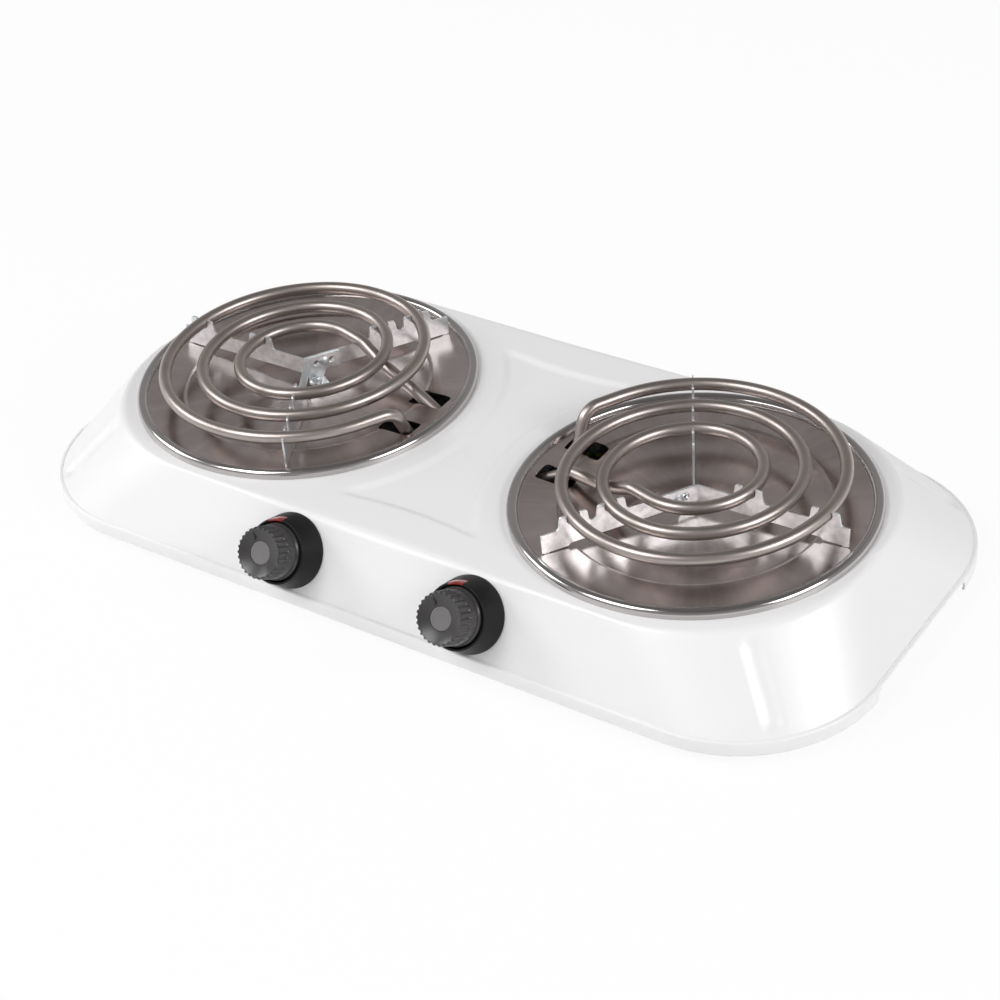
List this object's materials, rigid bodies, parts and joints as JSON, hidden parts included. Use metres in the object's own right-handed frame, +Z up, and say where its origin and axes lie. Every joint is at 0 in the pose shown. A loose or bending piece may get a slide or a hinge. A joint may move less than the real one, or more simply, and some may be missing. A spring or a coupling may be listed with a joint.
{
  "type": "hot plate burner",
  "caption": "Table-top electric hot plate with coil burners over drip pans in a pressed white steel housing, and turning heat knobs on its sloping front.",
  "frame": {"origin": "on the table, midway between the two burner centres", "axes": "+X along the length of the housing to the right-hand burner, -Y to the knobs, +Z up"},
  "size_m": [0.4846, 0.2576, 0.0678],
  "materials": {
    "white_enamel": "glossy white enamel",
    "base_steel": "plain zinc-coated sheet",
    "zinc": "bright zinc plate",
    "nickel": "nickel plate",
    "foot_rubber": "matte black rubber",
    "pan_steel": "polished, slightly dark steel",
    "coil_steel": "satin grey sheath",
    "ceramic": "white ceramic",
    "bezel_black": "matte black moulding",
    "lens_red": "clear red lens",
    "lamp_glass": "clear glass",
    "knob_grey": "satin dark grey moulding",
    "cap_grey": "satin mid grey disc",
    "case_brown": "dark moulded case",
    "contact_brass": "plain brass",
    "wire_brown": "brown insulation",
    "wire_blue": "blue insulation",
    "wire_green": "green and yellow insulation",
    "gland_black": "matte black moulding",
    "block_white": "white moulding"
  },
  "bodies": {
    "housing": {"top_housing": "white_enamel", "base_plate": "base_steel", "base_screws": "zinc", "rubber_feet": "foot_rubber", "foot_bolts": "zinc", "foot_nuts": "zinc", "support_rivets": "zinc", "centre_screws": "zinc", "centre_nuts": "zinc", "panel_nuts": "nickel", "cord_gland": "gland_black", "gland_nut": "gland_black", "terminal_block": "block_white", "block_screws": "nickel", "earth_stud": "zinc", "earth_nuts": "zinc", "link_wire": "wire_brown", "live_wire": "wire_brown", "earth_wire": "wire_green", "left_drip_pan": "pan_steel", "left_heating_coil": "coil_steel", "left_coil_support": "zinc", "left_support_arm": "zinc", "left_clamp_bar": "zinc", "left_lead_bracket": "zinc", "left_terminal_pins": "nickel", "left_insulator_beads": "ceramic", "left_knob_bezel": "bezel_black", "left_lamp_lens": "lens_red", "left_neon_lamp": "lamp_glass", "left_regulator_plate": "zinc", "left_regulator_case": "case_brown", "left_regulator_blades": "contact_brass", "left_load_wire": "wire_brown", "left_neutral_wire": "wire_blue", "right_drip_pan": "pan_steel", "right_heating_coil": "coil_steel", "right_coil_support": "zinc", "right_support_arm": "zinc", "right_clamp_bar": "zinc", "right_lead_bracket": "zinc", "right_terminal_pins": "nickel", "right_insulator_beads": "ceramic", "right_knob_bezel": "bezel_black", "right_lamp_lens": "lens_red", "right_neon_lamp": "lamp_glass", "right_regulator_plate": "zinc", "right_regulator_case": "case_brown", "right_regulator_blades": "contact_brass", "right_load_wire": "wire_brown", "right_neutral_wire": "wire_blue"},
    "left_knob": {"left_knob": "knob_grey", "left_knob_cap": "cap_grey", "left_spindle": "nickel"},
    "right_knob": {"right_knob": "knob_grey", "right_knob_cap": "cap_grey", "right_spindle": "nickel"}
  },
  "joints": [
    {"name": "left_knob_turn", "type": "hinge", "parent": "housing", "child": "left_knob", "pos_m": [-0.05, -0.10761, 0.02965], "axis": [0, 0.8597, -0.5108], "range_deg": [0, 280]},
    {"name": "right_knob_turn", "type": "hinge", "parent": "housing", "child": "right_knob", "pos_m": [0.058, -0.10761, 0.02965], "axis": [0, 0.8597, -0.5108], "range_deg": [0, 280]}
  ]
}
